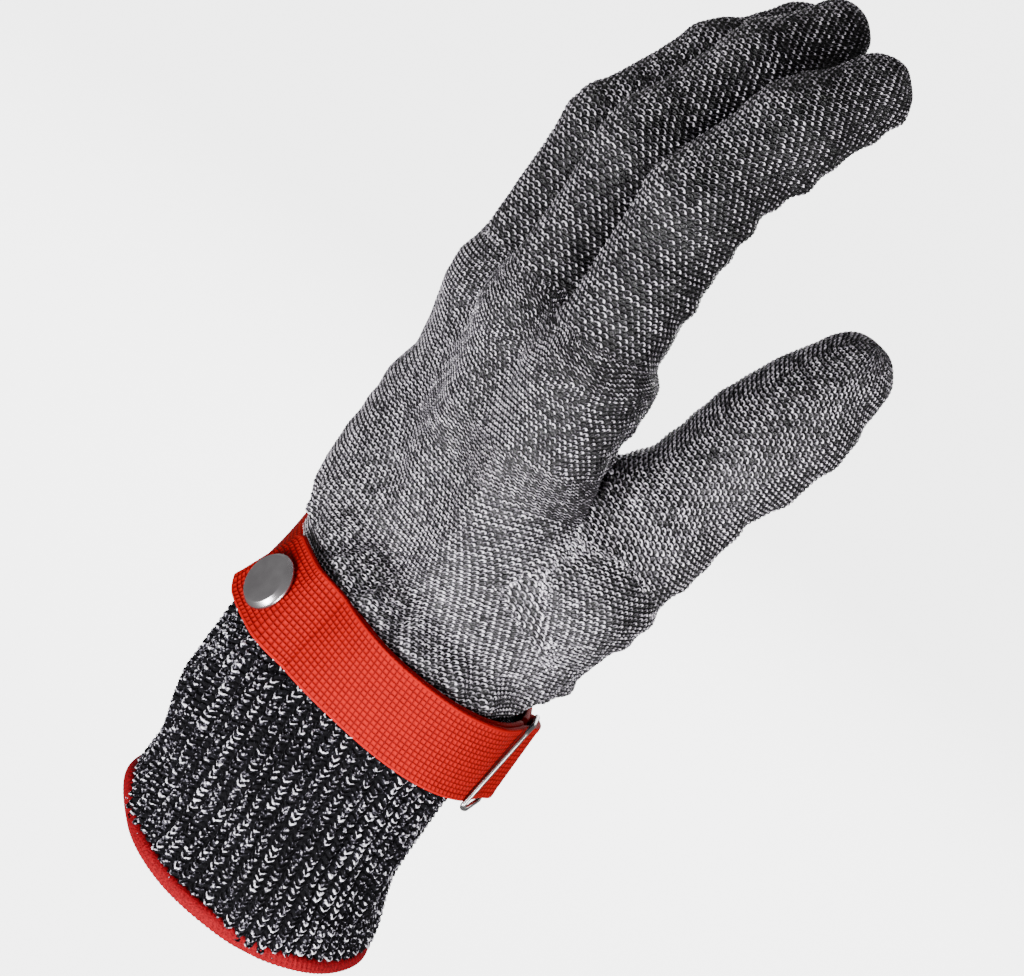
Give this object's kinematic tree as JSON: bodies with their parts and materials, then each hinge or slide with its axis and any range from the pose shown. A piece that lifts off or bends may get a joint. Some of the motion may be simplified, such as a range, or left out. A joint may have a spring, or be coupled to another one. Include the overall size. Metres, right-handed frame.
{
  "type": "cut resistant glove",
  "caption": "Left hand knitted steel wire glove with folding finger stalls, rib cuff, bound hem and a wrist strap with ring and snap.",
  "frame": {"origin": "centre of the cuff mouth, in the plane of the hem's end face", "axes": "+Z from the cuff mouth towards the finger tips, +Y out of the palm, -Y out of the back of the hand, +X towards the thumb side"},
  "size_m": [0.1075, 0.1034, 0.2599],
  "materials": {
    "steel_knit": "seamless knit of steel wire and polymer yarn, mixed grey, matt with bright flecks",
    "rib_knit": "coarse rib knit, black with white flecks",
    "hem_thread": "overlock stitching, red, matt",
    "webbing": "woven narrow webbing, red, slight sheen",
    "stitch_thread": "sewing thread, dark red",
    "ring_wire": "drawn steel wire, bright",
    "snap_steel": "polished nickel plated steel"
  },
  "bodies": {
    "glove": {"palm_and_back_knit": "steel_knit", "rib_cuff": "rib_knit", "cuff_hem": "hem_thread", "strap_band": "webbing", "stud_post": "snap_steel", "snap_stud": "snap_steel", "band_bartack": "stitch_thread", "glove_bartack": "stitch_thread"},
    "thumb_root": {"thumb_stall_root": "steel_knit"},
    "thumb_tip": {"thumb_stall_tip": "steel_knit"},
    "index_root": {"index_stall_root": "steel_knit"},
    "index_tip": {"index_stall_tip": "steel_knit"},
    "middle_root": {"middle_stall_root": "steel_knit"},
    "middle_tip": {"middle_stall_tip": "steel_knit"},
    "ring_root": {"ring_stall_root": "steel_knit"},
    "ring_tip": {"ring_stall_tip": "steel_knit"},
    "little_root": {"little_stall_root": "steel_knit"},
    "little_tip": {"little_stall_tip": "steel_knit"},
    "flap": {"strap_flap": "webbing"},
    "end_tab": {"strap_end_tab": "webbing", "snap_socket": "snap_steel", "socket_spring": "snap_steel", "snap_cap": "snap_steel"},
    "ring_wire": {"wire_ring": "ring_wire"}
  },
  "joints": [
    {"name": "thumb_root_fold", "type": "hinge", "parent": "glove", "child": "thumb_root", "pos_m": [0.01773, 0.02364, 0.13776], "axis": [0.9339, -0.3351, 0.1248], "range_deg": [-12, 12]},
    {"name": "thumb_middle_fold", "type": "hinge", "parent": "thumb_root", "child": "thumb_tip", "pos_m": [0.01845, 0.03672, 0.1675], "axis": [0.9339, -0.3351, 0.1248], "range_deg": [-12, 13]},
    {"name": "index_root_fold", "type": "hinge", "parent": "glove", "child": "index_root", "pos_m": [0.00929, -0.00293, 0.18402], "axis": [-0.9907, 0.0095, -0.1354], "range_deg": [-15, 21]},
    {"name": "index_middle_fold", "type": "hinge", "parent": "index_root", "child": "index_tip", "pos_m": [0.0058, -0.0011, 0.20972], "axis": [-0.9907, 0.0095, -0.1354], "range_deg": [-15, 25]},
    {"name": "middle_root_fold", "type": "hinge", "parent": "glove", "child": "middle_root", "pos_m": [-0.01309, -0.00586, 0.18398], "axis": [-0.9888, 0.0104, -0.1492], "range_deg": [-15, 32]},
    {"name": "middle_middle_fold", "type": "hinge", "parent": "middle_root", "child": "middle_tip", "pos_m": [-0.01706, -0.00279, 0.21051], "axis": [-0.9888, 0.0104, -0.1492], "range_deg": [-15, 36]},
    {"name": "ring_root_fold", "type": "hinge", "parent": "glove", "child": "ring_root", "pos_m": [-0.03375, -0.00258, 0.17773], "axis": [-0.9854, 0.0119, -0.1698], "range_deg": [-15, 32]},
    {"name": "ring_middle_fold", "type": "hinge", "parent": "ring_root", "child": "ring_tip", "pos_m": [-0.03775, 0.00058, 0.20119], "axis": [-0.9854, 0.0119, -0.1698], "range_deg": [-15, 36]},
    {"name": "little_root_fold", "type": "hinge", "parent": "glove", "child": "little_root", "pos_m": [-0.05075, 0.0112, 0.16491], "axis": [-0.981, 0.0135, -0.1938], "range_deg": [-15, 32]},
    {"name": "little_middle_fold", "type": "hinge", "parent": "little_root", "child": "little_tip", "pos_m": [-0.05354, 0.01459, 0.17925], "axis": [-0.981, 0.0135, -0.1938], "range_deg": [-15, 36]},
    {"name": "strap_peel", "type": "hinge", "parent": "glove", "child": "flap", "pos_m": [0.0337, -0.02136, 0.07642], "axis": [0, 0, 1], "range_deg": [0, 95]},
    {"name": "snap_lift", "type": "hinge", "parent": "flap", "child": "end_tab", "pos_m": [0.01414, -0.0338, 0.07841], "axis": [0, 0, 1], "range_deg": [0, 50]},
    {"name": "ring_lift", "type": "hinge", "parent": "glove", "child": "ring_wire", "pos_m": [0.02909, 0.02526, 0.06896], "axis": [0, 0, 1], "range_deg": [0, 30]}
  ]
}
